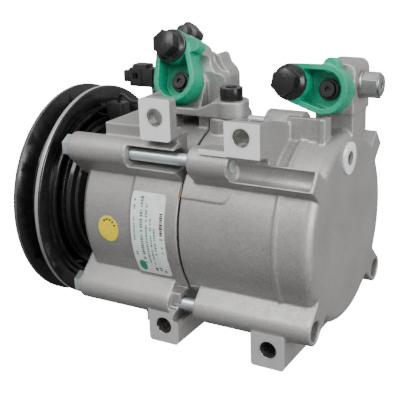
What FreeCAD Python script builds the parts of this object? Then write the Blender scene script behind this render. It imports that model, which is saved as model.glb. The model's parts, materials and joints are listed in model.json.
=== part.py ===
import FreeCAD, Part
import math
import os

# Automotive air conditioning compressor: belt driven, ten cylinders, swash plate.
# Frame: X is the shaft axis and points to the rear head, -Y is the side with the mounting ears, +Z is up.
# The origin is on the shaft axis at the middle of the belt groove.  Units are millimetres.

V = FreeCAD.Vector
X_AXIS = V(1, 0, 0)
Y_AXIS = V(0, 1, 0)
Z_AXIS = V(0, 0, 1)
ORIGIN = V(0, 0, 0)

# ---------------------------------------------------------------- driving dimensions

# housings
FRONT_X = 30.0            # front face of the front shell
STEP_X = 65.5             # small step in the front shell
SPLIT_X = 98.0            # joint between the two shells, and the centre of the swash plate
REAR_X = 177.8            # machined rear face
SHELL_R = 55.5
SHELL_WALL = 5.5
REAR_ROUND = 6.0          # rounded rim of the rear head
CAVITY_R = SHELL_R - SHELL_WALL
NOSE_R = 17.5             # seat of the pulley bearing
NOSE_FRONT_X = -11.0
NOSE_BORE_R = 13.5
SPLIT_GAP = 0.1           # half of the gap that the shells leave between them

# through bolts: four, on a rectangle about the shaft
BOLT_Y = 47.5
BOLT_Z = 43.5
BOLT_SHANK_R = 3.6
BOLT_HEAD_AF = 12.0
BOLT_HEAD_X = 20.4
BOLT_SEAT_X = 26.0
LUG_R = 9.0
REAR_LUG_R = 8.3          # hollow ends of the two lower lugs
REAR_LUG_BORE_R = 5.7
BOLT_CLEAR_R = 4.2
BOLT_TIP_X = 150.0
SHORT_BOLT_TIP_X = 130.4  # upper bolts end in the open, in front of a channel
CHANNEL_DEG = 140.0       # direction of the near upper channel from the shaft axis

# mounting ears
EAR_FACE_Y = -55.7
EAR_HOLE_R = 5.1

# pump
BORES = 5
FIRST_BORE_DEG = 90.0
BORE_R = 16.3
PISTON_R = 15.4
HALF_STROKE = 9.5
BORE_CIRCLE_R = 32.5      # centre of each bore from the shaft axis
BLOCK_HALF = 50.0         # from the swash plate's centre to the end of a cylinder block
BLOCK_R = CAVITY_R - 0.25
PLATE_HALF = 4.5          # half of the swash plate's thickness
PLATE_R = 41.3
PLATE_HUB_R = 14.0
PLATE_HUB_HALF = 16.0
TILT_TOWARD_DEG = 20.0    # where the plate leans to the rear, at rest
SHOE_SPHERE_R = 13.0
SHOE_R = 8.4
SLOT_HALF = 10.6
BRIDGE_R = 42.6           # inner face of the piston's bridge, from the shaft axis
VALVE_T = 2.7
REED_T = 0.4
GASKET_T = 0.5

# shaft
SHAFT_R = 8.5
SHAFT_REAR_X = 166.0
SHAFT_FRONT_X = -19.0

# clutch
PULLEY_R = 68.5
RIDGE_HALF = 7.1          # half of the groove's width at the ridges
PULLEY_HALF = 10.2
GROOVE_DEPTH = 11.0
GROOVE_WALL_DEG = 18.0
BEARING_R = 26.0
BEARING_HALF = 10.0
BALL_R = 2.8
BALL_CIRCLE_R = 21.75
BALLS = 13                # in each row
BALL_ROWS = (-4.5, 4.5)
COIL_R = 49.0
COIL_BORE_R = 31.8
FRICTION_X = -10.2        # face that the armature is pulled against
CLUTCH_GAP = 0.5
ARMATURE_T = 4.2
ARMATURE_R = 52.0

# ports
FRONT_PORT = V(75.6, -4.0, 76.1)
FRONT_PORT_TILT = 23.0    # lean of the port's face back from upright
FRONT_PORT_ROLL = -14.0   # turn of the bolt about the port, from straight above it
REAR_PORT = V(165.6, 2.0, 77.6)
REAR_PORT_TILT = 11.0
REAR_PORT_ROLL = -82.0
PORT_PITCH = 19.3         # from the port to its fastening bolt
CAP_BIG_R = 13.4
CAP_SMALL_R = 10.2
CAP_DEPTH = 13.0
CAP_WALL = 3.2
CAP_NUB_R = 4.2
RELIEF_Y = 14.5           # axis of the relief valve, along X
RELIEF_Z = 79.0
MANIFOLD_Z = 61.0         # machined seat of the service manifold
SCREW = V(110.8, -11.0, 70.6)
PLUG_Y = -3.0
PLUG_Z = 41.5

# coil lead
LEAD_R = 1.1


# ---------------------------------------------------------------- shape helpers

def cyl_x(r, x0, x1, y=0.0, z=0.0):
    """Cylinder along X."""
    return Part.makeCylinder(r, x1 - x0, V(x0, y, z), X_AXIS)


def cyl_y(r, y0, y1, x, z):
    """Cylinder along Y."""
    return Part.makeCylinder(r, y1 - y0, V(x, y0, z), Y_AXIS)


def cyl_z(r, z0, z1, x, y):
    """Cylinder along Z."""
    return Part.makeCylinder(r, z1 - z0, V(x, y, z0), Z_AXIS)


def ring_x(outer, inner, x0, x1, y=0.0, z=0.0):
    """Flat ring about X."""
    return cyl_x(outer, x0, x1, y, z).cut(cyl_x(inner, x0 - 1, x1 + 1, y, z))


def box(x0, x1, y0, y1, z0, z1):
    """Box between two corners."""
    return Part.makeBox(x1 - x0, y1 - y0, z1 - z0, V(x0, y0, z0))


def revolve_x(outline):
    """Solid of revolution about X of a closed outline of (x, radius) points."""
    points = [V(x, r, 0) for x, r in outline]
    face = Part.Face(Part.makePolygon(points + points[:1]))
    return face.revolve(ORIGIN, X_AXIS, 360)


def prism_y(outline, y0, y1):
    """Prism along Y of an outline of (x, z) points."""
    points = [V(x, y0, z) for x, z in outline]
    return Part.Face(Part.makePolygon(points + points[:1])).extrude(V(0, y1 - y0, 0))


def prism_x(outline, x0, x1):
    """Prism along X of an outline of (y, z) points."""
    points = [V(x0, y, z) for y, z in outline]
    return Part.Face(Part.makePolygon(points + points[:1])).extrude(V(x1 - x0, 0, 0))


def hexagon(across_flats, base, direction, length, turn_deg=0.0):
    """Hexagonal prism that starts at base and runs along direction."""
    circum = across_flats / math.sqrt(3.0)
    points = []
    for i in range(6):
        angle = math.radians(60 * i + turn_deg)
        points.append(V(circum * math.cos(angle), circum * math.sin(angle), 0))
    solid = Part.Face(Part.makePolygon(points + points[:1])).extrude(V(0, 0, length))
    solid.Placement = FreeCAD.Placement(base, FreeCAD.Rotation(Z_AXIS, direction))
    return solid


def fuse(shapes):
    """One clean solid from overlapping ones."""
    result = shapes[0].fuse(shapes[1:]) if len(shapes) > 1 else shapes[0]
    return result.removeSplitter()


def cut(shape, tools):
    """A shape less a list of tools."""
    return shape.cut(tools).removeSplitter()


def on_circle(radius, degrees):
    """The (y, z) of a point on a circle about the shaft axis."""
    angle = math.radians(degrees)
    return radius * math.cos(angle), radius * math.sin(angle)


def around_x(shape, count, first_deg=0.0):
    """Copies of a shape, evenly spaced about the shaft axis."""
    copies = []
    for i in range(count):
        copy = shape.copy()
        copy.rotate(ORIGIN, X_AXIS, first_deg + 360.0 * i / count)
        copies.append(copy)
    return copies


# ---------------------------------------------------------------- swash plate geometry

# One turn moves a point of the plate that does not spin with it along X as a pure cosine.
# Its path across the bore is a small circle, DRIFT_R, which the bores are wide enough to take.

def plate_circle_radius():
    """Radius in the plate's own plane whose mean projection is the bore circle."""
    radius = BORE_CIRCLE_R
    for _ in range(20):
        lean = math.asin(HALF_STROKE / radius)
        radius = 2 * BORE_CIRCLE_R / (1 + math.cos(lean))
    return radius


PLATE_CIRCLE_R = plate_circle_radius()
LEAN = math.asin(HALF_STROKE / PLATE_CIRCLE_R)
DRIFT_R = PLATE_CIRCLE_R * (1 - math.cos(LEAN)) / 2
PLATE_CENTRE = V(SPLIT_X, 0, 0)
TOWARD = V(0, *on_circle(1.0, TILT_TOWARD_DEG))
ACROSS = V(0, *on_circle(1.0, TILT_TOWARD_DEG + 90))
PLATE_NORMAL = X_AXIS * math.cos(LEAN) - TOWARD * math.sin(LEAN)
PLATE_UP = X_AXIS * math.sin(LEAN) + TOWARD * math.cos(LEAN)


def bore_angle(i):
    """Angle of bore i about the shaft."""
    return FIRST_BORE_DEG + 360.0 * i / BORES


def piston_centre(i):
    """Middle of piston i at rest, on the plate's mid-plane."""
    angle = math.radians(bore_angle(i) - TILT_TOWARD_DEG)
    in_plane = PLATE_UP * math.cos(angle) + ACROSS * math.sin(angle)
    return PLATE_CENTRE + in_plane * PLATE_CIRCLE_R


# ---------------------------------------------------------------- housings

BOLT_CORNERS = [(-BOLT_Y, BOLT_Z), (-BOLT_Y, -BOLT_Z), (BOLT_Y, BOLT_Z), (BOLT_Y, -BOLT_Z)]


def lug(y, z, x0, x1, radius=LUG_R):
    """Round bolt lug with a web that joins it to the shell."""
    angle = math.degrees(math.atan2(z, y))
    web = box(x0, x1, SHELL_R - 8, math.hypot(y, z), -radius, radius)
    web.rotate(ORIGIN, X_AXIS, angle)
    return [cyl_x(radius, x0, x1, y, z), web]


def ear(x0, x1, z0, z1, y_back, hole):
    """Mounting ear: a bar along Y with its hole, corners rounded along Y."""
    bar = box(x0, x1, EAR_FACE_Y, y_back, z0, z1)
    long_edges = [e for e in bar.Edges if abs(e.tangentAt(e.FirstParameter).y) > 0.99]
    return bar.makeFillet(2.0, long_edges), cyl_y(EAR_HOLE_R, EAR_FACE_Y - 1, y_back + 1, *hole)


def front_shell():
    """Cup that carries the clutch on its nose and closes over the front cylinder block."""
    outline = [(NOSE_FRONT_X, NOSE_BORE_R), (NOSE_FRONT_X, NOSE_R), (10.6, NOSE_R), (10.6, 21.0),
               (19.0, 21.0), (22.0, 30.0), (FRONT_X, 40.0), (FRONT_X, SHELL_R - 5),
               (FRONT_X + 4, SHELL_R - 1), (STEP_X, SHELL_R - 1), (STEP_X + 1, SHELL_R),
               (SPLIT_X - SPLIT_GAP, SHELL_R), (SPLIT_X - SPLIT_GAP, CAVITY_R),
               (SPLIT_X - BLOCK_HALF - VALVE_T - 2 * GASKET_T, CAVITY_R),
               (SPLIT_X - BLOCK_HALF - VALVE_T - 2 * GASKET_T, CAVITY_R - 3.5),
               (35.5, CAVITY_R - 6), (35.5, 18.0), (30.0, 18.0), (30.0, NOSE_BORE_R)]
    return revolve_x(outline)


def front_housing():
    parts = [front_shell()]
    for y, z in BOLT_CORNERS:
        near_top = y < 0 < z
        parts += lug(y, z, BOLT_SEAT_X, SPLIT_X - 0.6 if near_top else 90.0)
    # flat cast ledges beside the near top lug, and the pads that the ears stand on
    parts.append(box(42, 64, -36, -8, 40, 57))
    parts.append(box(48, 78, -47, -10, 38, 60))
    parts.append(box(77, 96, -47, -36.5, 38, 57))
    parts.append(box(72, 96, -52, -18, -58, -36))
    # half of the manifold's seat
    parts.append(box(91.0, SPLIT_X - SPLIT_GAP, -15.5, 16.0, 40.0, MANIFOLD_Z - 0.1))
    upper, upper_hole = ear(77.6, 96.7, 54.9, 78.2, -36.0, (87.3, 67.9))
    lower, lower_hole = ear(75.9, 95.6, -67.6, -45.4, -20.0, (86.1, -56.5))
    parts += [upper, lower]
    body = fuse(parts)
    tools = [cyl_x(BOLT_CLEAR_R, 10, SPLIT_X + 2, y, z) for y, z in BOLT_CORNERS]
    # open channel that shows the near top bolt
    channel = box(66, SPLIT_X + 2, -BOLT_Y - 16, -BOLT_Y + 1.0, BOLT_Z - 6.0, BOLT_Z + 6.0)
    tools += [channel, cyl_x(6.0, 66, SPLIT_X + 2, -BOLT_Y, BOLT_Z)]
    head_x = SPLIT_X - BLOCK_HALF - VALVE_T - 2 * GASKET_T
    tools += [cyl_x(CAVITY_R, head_x, SPLIT_X + 2), cyl_x(CAVITY_R - 6, head_x - 5, head_x + 1)]
    tools += [upper_hole, lower_hole]
    # the upper ear is a plate round its bore, deeper at its foot and along its front side
    tools.append(box(80.5, 98, -48.0, -35, 61.0, 80))
    tools.append(box(80.5, 98, -43.0, -35, 57, 62))
    # triangular pocket beside the lower ear
    tools.append(prism_y([(97, -41), (97, -53), (91, -53)], -60, -40))
    return cut(body, tools)


def rear_shell():
    """Cup over the rear cylinder block, with the rear head cast in one with it."""
    end = SPLIT_X + BLOCK_HALF + VALVE_T + 2 * GASKET_T
    outline = [(SPLIT_X + SPLIT_GAP, CAVITY_R), (SPLIT_X + SPLIT_GAP, SHELL_R), (155.6, SHELL_R),
               (156.2, SHELL_R + 0.9), (158.0, SHELL_R + 0.9), (158.6, SHELL_R)]
    for degrees in range(0, 91, 15):
        angle = math.radians(degrees)
        outline.append((REAR_X - REAR_ROUND + REAR_ROUND * math.sin(angle),
                        SHELL_R - REAR_ROUND + REAR_ROUND * math.cos(angle)))
    outline += [(REAR_X, 0.0), (169.0, 0.0), (169.0, CAVITY_R - 5), (end, CAVITY_R - 3.5),
                (end, CAVITY_R)]
    shell = revolve_x(outline)
    divider = ring_x(30.0, 27.5, end + 2.0, 170.0)
    return [shell, divider]


def rear_neck():
    """Neck from the rear head up to the rear port block."""
    return [cyl_z(11.5, 49, 68, 163.5, 14.5), box(164.5, REAR_X, 3.0, 25.0, 49, 68)]


def rear_port_block():
    """Block that carries the rear port: teardrop at the bolt, square and taller at the port."""
    end = REAR_X + 0.4
    block = box(157.0, end, 2.0, 27.5, 64.0, 91.6)
    top_edges = [e for e in block.Edges
                 if e.BoundBox.ZMin > 91.5 and abs(e.tangentAt(e.FirstParameter).x) < 0.5]
    before_face = placed(box(-40, 40, -20, 0, -40, 40), *REAR_PLACE)
    block = block.makeFillet(5.0, top_edges).cut(before_face)
    bolt_end = placed(teardrop(CAP_BIG_R, CAP_SMALL_R, 0.0, 22.0), *REAR_PLACE)
    return [block, bolt_end.common(box(100, end, -40, 60, 40, 120))]


def upper_rear_ear():
    """Long ear bar with two cast pockets in its top, which falls away to the shell."""
    outline = [(EAR_FACE_Y, 51.0), (EAR_FACE_Y, 69.6), (-40, 68.0), (-8, 59.0), (-8, 45.0),
               (-38, 38.0), (-46, 49.0)]
    bar = prism_x(outline, 129.6, 149.9)
    near_pocket = box(133.0, 147.0, -47, -33, 56.0, 75.0)
    far_pocket = box(133.0, 147.0, -29, -13, 54.5, 75.0)
    hole = cyl_y(EAR_HOLE_R, EAR_FACE_Y - 1, -45, 139.4, 61.7)
    return bar, [near_pocket, far_pocket, hole]


def channel_lug(side):
    """Lug of an upper bolt: solid round the thread, then an open channel between two thin fins."""
    solids = lug(side * BOLT_Y, BOLT_Z, 106.0, SHORT_BOLT_TIP_X + 0.8)
    fins = box(SHORT_BOLT_TIP_X, REAR_X, SHELL_R - 8, 63.6, -6.5, 6.5)
    hollow = cyl_x(5.5, SHORT_BOLT_TIP_X, REAR_X - 2.0, 62.2, 0.0)
    opening = box(SHORT_BOLT_TIP_X, REAR_X - 2.0, 62.2, 72.0, -5.5, 5.5)
    degrees = CHANNEL_DEG if side < 0 else 180.0 - CHANNEL_DEG
    for shape in (fins, hollow, opening):
        shape.rotate(ORIGIN, X_AXIS, degrees)
    return solids + [fins], [hollow, opening]


def shell_pad(x_end, z0, z1):
    """Raised patch on the near side of the rear shell, from the joint to x_end and from z0 to z1.

    Its corner at x_end and z0 is rounded.
    """
    corner_r = 5.0
    toward = 1 if z1 > z0 else -1
    outline = [(SPLIT_X, z1), (SPLIT_X, z0)]
    for degrees in range(0, 91, 15):
        angle = math.radians(degrees)
        outline.append((x_end - corner_r + corner_r * math.sin(angle),
                        z0 + toward * corner_r * (1 - math.cos(angle))))
    outline.append((x_end, z1))
    skin = ring_x(SHELL_R + 0.8, SHELL_R - 2, SPLIT_X + SPLIT_GAP, x_end)
    return skin.common(prism_y(outline, -70, -20))


def rear_housing():
    parts = rear_shell() + rear_neck() + rear_port_block()
    lower_bolts = [(y, z) for y, z in BOLT_CORNERS if z < 0]
    for y, z in lower_bolts:
        parts += lug(y, z, 106.0, REAR_X, REAR_LUG_R)
    tools = []
    for side in (-1, 1):
        channel_solids, channel_tools = channel_lug(side)
        parts += channel_solids
        tools += channel_tools
    bar, bar_tools = upper_rear_ear()
    lower, lower_hole = ear(142.7, 163.0, -67.8, -47.0, 29.0, (153.3, -56.5))
    parts += [bar, lower]
    # machined strip beside the upper ear, and the rear half of the manifold's seat
    parts.append(box(114.0, 130.5, EAR_FACE_Y, -44.0, 50.6, 53.3))
    parts.append(box(SPLIT_X + SPLIT_GAP, 104.0, -15.5, 16.0, 46.0, MANIFOLD_Z - 0.1))
    parts.append(box(SPLIT_X + SPLIT_GAP, 116.0, -15.5, -1.0, 46.0, MANIFOLD_Z - 0.1))
    parts.append(cyl_z(8.2, 46.0, MANIFOLD_Z - 0.1, 106.6, -12.8))
    # plate between the ear bar and the neck, with its end post
    parts.append(box(148.0, 168.5, -18.0, -14.0, 50.0, 65.4))
    parts.append(box(167.0, 170.5, -19.5, -10.0, 50.0, 65.9))
    # ribs on the shell, cast pads on its near side
    for x in (147.6, 159.0):
        band = ring_x(SHELL_R + 0.9, SHELL_R - 2, x, x + 1.3)
        parts.append(band.common(box(x - 1, x + 3, -42, -10, 30, 60)))
    parts.append(shell_pad(128.3, 22.8, 45.0))
    parts.append(shell_pad(134.5, -32.5, -48.0))
    body = fuse(parts)
    tools += bar_tools + [lower_hole]
    for y, z in BOLT_CORNERS:
        tip = SHORT_BOLT_TIP_X if z > 0 else BOLT_TIP_X
        tools.append(cyl_x(BOLT_SHANK_R + 0.1, 100, tip + 1.5, y, z))
    for y, z in lower_bolts:
        tools.append(cyl_x(REAR_LUG_BORE_R, BOLT_TIP_X + 1, REAR_X + 2, y, z))
    tools.append(cyl_x(CAVITY_R, SPLIT_X - 2, SPLIT_X + BLOCK_HALF + VALVE_T + 2 * GASKET_T))
    tools.append(cyl_z(3.4, 50.0, 63.0, SCREW.x, SCREW.y))
    # port, its bolt hole, the relief valve's hole and the passage down the neck
    tools += port_holes(REAR_PLACE)
    tools.append(cyl_x(5.0, 170.0, REAR_X + 2, RELIEF_Y, RELIEF_Z))
    tools.append(cyl_z(5.0, 46.0, 78.0, 164.0, 14.5))
    # plug hole in the rear face
    tools.append(cyl_x(6.0, 168.0, REAR_X + 1, PLUG_Y, PLUG_Z))
    return cut(body, tools)


def oil_plug():
    """Flanged screw plug in the rear face, with a round recess."""
    plug = fuse([cyl_x(5.9, 170.0, REAR_X + 0.5, PLUG_Y, PLUG_Z),
                 cyl_x(9.0, REAR_X + 0.02, REAR_X + 1.4, PLUG_Y, PLUG_Z)])
    socket = hexagon(5.0, V(REAR_X - 4, PLUG_Y, PLUG_Z), X_AXIS, 5)
    return cut(plug, [socket, cyl_x(3.9, REAR_X, REAR_X + 5, PLUG_Y, PLUG_Z)])


def joint_seals():
    """Round ring between the two shells, and the flat seal under the manifold."""
    ring = ring_x(CAVITY_R + 3.6, CAVITY_R + 1.4, SPLIT_X - SPLIT_GAP, SPLIT_X + SPLIT_GAP)
    flat = fuse([box(91.5, 103.5, -14.5, 15.0, MANIFOLD_Z - 0.1, MANIFOLD_Z),
                 box(103.0, 115.6, -14.5, -1.5, MANIFOLD_Z - 0.1, MANIFOLD_Z)])
    flat = cut(flat, [cyl_z(4.4, 50, 70, SCREW.x, SCREW.y)])
    return Part.Compound([ring, flat])


def through_bolt(y, z):
    """Long hexagon bolt from the front, threaded into the rear housing."""
    tip = SHORT_BOLT_TIP_X if z > 0 else BOLT_TIP_X
    head = hexagon(BOLT_HEAD_AF, V(BOLT_HEAD_X, y, z), X_AXIS, BOLT_SEAT_X - BOLT_HEAD_X - 1.0)
    washer = cyl_x(7.2, BOLT_SEAT_X - 1.2, BOLT_SEAT_X, y, z)
    return fuse([head, washer, cyl_x(BOLT_SHANK_R, BOLT_SEAT_X - 1, tip, y, z)])


# ---------------------------------------------------------------- ports, manifold and caps

def port_frame(tilt_deg, roll_deg):
    """Rotation from a port's own frame, where -Y leaves the port and +Z runs to its bolt."""
    tilt = FreeCAD.Rotation(X_AXIS, -tilt_deg)
    return tilt.multiply(FreeCAD.Rotation(Y_AXIS, roll_deg))


def placed(shape, centre, tilt_deg, roll_deg):
    """Put a shape made in a port's own frame where the port is."""
    shape.Placement = FreeCAD.Placement(centre, port_frame(tilt_deg, roll_deg))
    return shape


def teardrop(big_r, small_r, y0, y1):
    """Two rounds joined by their tangents: the outline of a port's cap and of its block."""
    big = cyl_y(big_r, y0, y1, 0, 0)
    small = cyl_y(small_r, y0, y1, 0, PORT_PITCH)
    angle = math.asin((big_r - small_r) / PORT_PITCH)
    c, s = math.cos(angle), math.sin(angle)
    outline = [(big_r * c, big_r * s), (small_r * c, PORT_PITCH + small_r * s),
               (-small_r * c, PORT_PITCH + small_r * s), (-big_r * c, big_r * s)]
    return fuse([big, small, prism_y(outline, y0, y1)])


FRONT_PLACE = (FRONT_PORT, FRONT_PORT_TILT, FRONT_PORT_ROLL)
REAR_PLACE = (REAR_PORT, REAR_PORT_TILT, REAR_PORT_ROLL)


def port_holes(place):
    """Port and bolt hole."""
    return [placed(cyl_y(6.6, -8, 16, 0, 0), *place),
            placed(cyl_y(3.9, -8, 16, 0, PORT_PITCH), *place)]


def port_cap(place, nub_x, nub_z):
    """Moulded shipping cap: an open teardrop cup with a bolt boss and a grip nub on its rim."""
    cup = teardrop(CAP_BIG_R, CAP_SMALL_R, -CAP_DEPTH, -0.05)
    hollow = teardrop(CAP_BIG_R - CAP_WALL, CAP_SMALL_R - CAP_WALL, -CAP_DEPTH - 1, -2.6)
    boss = cyl_y(CAP_SMALL_R - 0.4, -CAP_DEPTH, -1.0, 0, PORT_PITCH)
    nub = cyl_y(CAP_NUB_R, -CAP_DEPTH + 0.6, -4.5, nub_x, nub_z)
    body = fuse([cut(cup, [hollow]), boss, nub])
    body = cut(body, [cyl_y(4.1, -20, 5, 0, PORT_PITCH), cyl_y(4.7, -20, 5, 0, 0)])
    return placed(body, *place)


def cap_bolt(place, turn_deg):
    """Hexagon flange bolt that holds a cap on its port."""
    top = -CAP_DEPTH
    outward = -Y_AXIS
    washer = cyl_y(9.8, top - 1.4, top, 0, PORT_PITCH)
    flange = Part.makeCone(9.2, 7.4, 2.0, V(0, top - 1.2, PORT_PITCH), outward)
    head = hexagon(13.0, V(0, top - 2.0, PORT_PITCH), outward, 8.0, turn_deg)
    shank = cyl_y(3.8, top - 1, 13.0, 0, PORT_PITCH)
    return placed(fuse([washer, flange, head, shank]), *place)


def port_plug(place):
    """Rubber stopper pressed through the cap into the port: a flange, and a hub with a blind hole."""
    stopper = fuse([cyl_y(5.8, -4.6, -2.65, 0, 0), cyl_y(4.3, -6.6, -4.0, 0, 0),
                    cyl_y(4.6, -4, 4.0, 0, 0)])
    return placed(cut(stopper, [cyl_y(1.4, -12, -5.0, 0, 0)]), *place)


def service_manifold():
    """Cast manifold on both housings: front port, elbow with its saddle, and a foot with a screw."""
    reach = CAP_BIG_R + 0.4
    body = placed(teardrop(reach, CAP_SMALL_R + 0.4, 0, 20), *FRONT_PLACE)
    base = placed(box(-reach, reach, 0, 14, -14.2, 0), FRONT_PORT, FRONT_PORT_TILT, 0.0)
    # the foot is thin under the port, has a lip in front and rises to the boss of its screw
    foot = box(62.0, 94.0, -19.5, 20.0, MANIFOLD_Z, MANIFOLD_Z + 2.2)
    lip = box(62.0, 97.0, -19.5, -14.6, MANIFOLD_Z, MANIFOLD_Z + 4.2)
    rise = prism_y([(92, 61), (92, 65.2), (96, 66.5), (103, 70.0), (SCREW.x, 70.6), (SCREW.x, 61)],
                   -20.0, 1.0)
    boss = cyl_z(10.0, MANIFOLD_Z, SCREW.z, SCREW.x, SCREW.y)
    stem = box(64.0, 90.0, -4.0, 19.0, MANIFOLD_Z + 1, 78.0)
    # near wall of the elbow, with the scooped saddle behind its upper edge
    near_wall = prism_y([(83, 61), (102.0, 61), (102.0, 77), (101.2, 80.5), (98.6, 82.6), (95.0, 83),
                         (91.4, 87.6), (90.4, 91.0), (83, 93)], -1.0, 6.0)
    far_wall = prism_y([(82.5, 61), (101.6, 61), (101.6, 80), (99.9, 83.6), (96.4, 86.8), (95.0, 91.0),
                        (93.4, 92.7), (91.6, 92.6), (89.8, 90.2), (87.2, 89.6), (85.6, 91.2),
                        (83.6, 92.0), (82.5, 91.9)], 5.9, 18.0)
    before_face = placed(box(-40, 40, -20, 0, -40, 40), *FRONT_PLACE)
    behind = [shape.cut(before_face) for shape in (stem, near_wall, far_wall)]
    tools = port_holes(FRONT_PLACE)
    tools.append(cyl_z(4.4, 50, 75, SCREW.x, SCREW.y))
    tools.append(cyl_z(5.5, 60.0, 74.0, FRONT_PORT.x, 6.0))
    tools.append(valve_cap())
    return body.fuse([base, foot, lip, rise, boss] + behind).cut(tools)


def manifold_screw():
    """Socket head screw of the manifold."""
    head = cyl_z(6.5, SCREW.z + 0.02, SCREW.z + 7.0, SCREW.x, SCREW.y)
    shank = cyl_z(3.3, 50.0, SCREW.z + 1, SCREW.x, SCREW.y)
    socket = hexagon(6.0, SCREW + V(0, 0, 3.5), Z_AXIS, 6)
    return cut(fuse([head, shank]), [socket])


def valve_cap():
    """Square dust cap with cut corners, on the charging valve behind the front port."""
    half = 6.2
    square = [(-half, -half + 2), (-half + 2, -half), (half - 2, -half), (half, -half + 2),
              (half, half - 2), (half - 2, half), (-half + 2, half), (-half, half - 2)]
    cap = prism_y(square, 0.0, 9.0)
    neck = cyl_y(4.0, -6.0, 1.0, 0, 0)
    return placed(fuse([cap, neck]), V(64.0, 20.0, 101.5), FRONT_PORT_TILT, 40.0)


def relief_valve():
    """Hexagon pressure relief valve in the rear port block."""
    axis = (RELIEF_Y, RELIEF_Z)
    collar = cyl_x(7.6, REAR_X + 0.4, REAR_X + 2.2, *axis)
    head = hexagon(12.8, V(REAR_X + 2.0, *axis), X_AXIS, 9.0, 0)
    tip = cyl_x(6.0, REAR_X + 10.4, REAR_X + 11.8, *axis)
    thread = cyl_x(4.9, 172.6, REAR_X + 1.0, *axis)
    vent = cyl_x(1.6, REAR_X + 7.0, REAR_X + 14.0, *axis)
    return cut(fuse([collar, head, tip, thread]), [vent])


# ---------------------------------------------------------------- pump

def cylinder_block(side):
    """Front (-1) or rear (+1) half of the pump, with five bores and its shaft bearing seat."""
    x0, x1 = sorted((SPLIT_X + side * 0.05, SPLIT_X + side * BLOCK_HALF))
    body = cyl_x(BLOCK_R, x0, x1)
    reach = SPLIT_X + side * 26.0
    c0, c1 = sorted((SPLIT_X - side, reach))
    tools = [cyl_x(PLATE_R + 0.9, c0, c1)]
    for i in range(BORES):
        y, z = on_circle(BORE_CIRCLE_R, bore_angle(i))
        tools.append(cyl_x(BORE_R, x0 - 1, x1 + 1, y, z))
    s0, s1 = sorted((reach - side, SPLIT_X + side * 60))
    tools.append(cyl_x(11.5, s0, s1))
    return cut(body, tools)


def needle_bearing(side):
    """Drawn cup needle bearing: its cup and its needles are separate solids."""
    x0, x1 = sorted((SPLIT_X + side * 28.0, SPLIT_X + side * 46.0))
    cup = ring_x(11.46, 10.6, x0, x1)
    needles = around_x(cyl_x(0.98, x0 + 1.5, x1 - 1.5, 9.6, 0), 16)
    return Part.Compound([cup] + needles)


def thrust_bearing(side):
    """Thrust bearing beside the swash plate's hub: a cage of rollers, with one washer each side."""
    start = SPLIT_X + side * (PLATE_HUB_HALF + 0.05)
    race = []
    for near, far in ((0.0, 1.9), (5.0, 9.75)):
        x0, x1 = sorted((start + side * near, start + side * far))
        race.append(ring_x(15.5, 9.0, x0, x1))
    rollers = Part.makeCylinder(1.45, 5.2, V(start + side * 3.45, 9.6, 0), Y_AXIS)
    return Part.Compound(race + around_x(rollers, 18))


def valve_plate(side):
    """Steel plate that closes the bores, with five discharge and five suction ports."""
    base = SPLIT_X + side * (BLOCK_HALF + GASKET_T)
    x0, x1 = sorted((base, base + side * VALVE_T))
    plate = ring_x(BLOCK_R, 9.4, x0, x1)
    tools = []
    for i in range(BORES):
        y, z = on_circle(24.0, bore_angle(i))
        tools.append(cyl_x(4.0, x0 - 1, x1 + 1, y, z))
        for offset in (-7.0, 7.0):
            y, z = on_circle(39.0, bore_angle(i) + offset * 1.6)
            tools.append(cyl_x(3.0, x0 - 1, x1 + 1, y, z))
    return cut(plate, tools)


def suction_reed(side):
    """Sheet with one tongue for each bore, on the bore side of the valve plate."""
    base = SPLIT_X + side * (BLOCK_HALF + 0.05)
    x0, x1 = sorted((base, base + side * REED_T))
    sheet = ring_x(BLOCK_R, 11.0, x0, x1)
    tools = []
    for i in range(BORES):
        slot = box(x0 - 1, x1 + 1, 21.0, 44.0, -8.5, 8.5)
        tongue = box(x0 - 2, x1 + 2, 20.0, 43.0, -7.3, 7.3)
        frame = slot.cut(tongue)
        frame.rotate(ORIGIN, X_AXIS, bore_angle(i))
        tools.append(frame)
    return cut(sheet, tools)


def star(x0, x1, hub_r, arm_len, arm_half):
    """Hub with five arms that end in a round pad, for reeds and their stops."""
    arms = []
    for i in range(BORES):
        arm = box(x0, x1, hub_r - 2, arm_len, -arm_half, arm_half)
        arm = arm.fuse(cyl_x(arm_half, x0, x1, arm_len, 0))
        arm.rotate(ORIGIN, X_AXIS, bore_angle(i))
        arms.append(arm)
    return cut(fuse([cyl_x(hub_r, x0, x1)] + arms), [cyl_x(9.4, x0 - 1, x1 + 1)])


def discharge_reed(side):
    """Five-armed reed over the discharge ports."""
    base = SPLIT_X + side * (BLOCK_HALF + GASKET_T + VALVE_T + 0.02)
    x0, x1 = sorted((base, base + side * REED_T))
    return star(x0, x1, 16.0, 24.0, 4.9)


def reed_stop(side):
    """Five-armed stop that limits the discharge reed's lift."""
    base = SPLIT_X + side * (BLOCK_HALF + GASKET_T + VALVE_T + 0.04 + REED_T)
    x0, x1 = sorted((base, base + side * 1.4))
    return star(x0, x1, 15.0, 23.6, 4.2)


def head_gasket(side):
    """Gasket between the valve plate and the housing."""
    base = SPLIT_X + side * (BLOCK_HALF + GASKET_T + VALVE_T)
    x0, x1 = sorted((base + side * 0.02, base + side * GASKET_T))
    return ring_x(BLOCK_R, CAVITY_R - 3.5, x0, x1)


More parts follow.
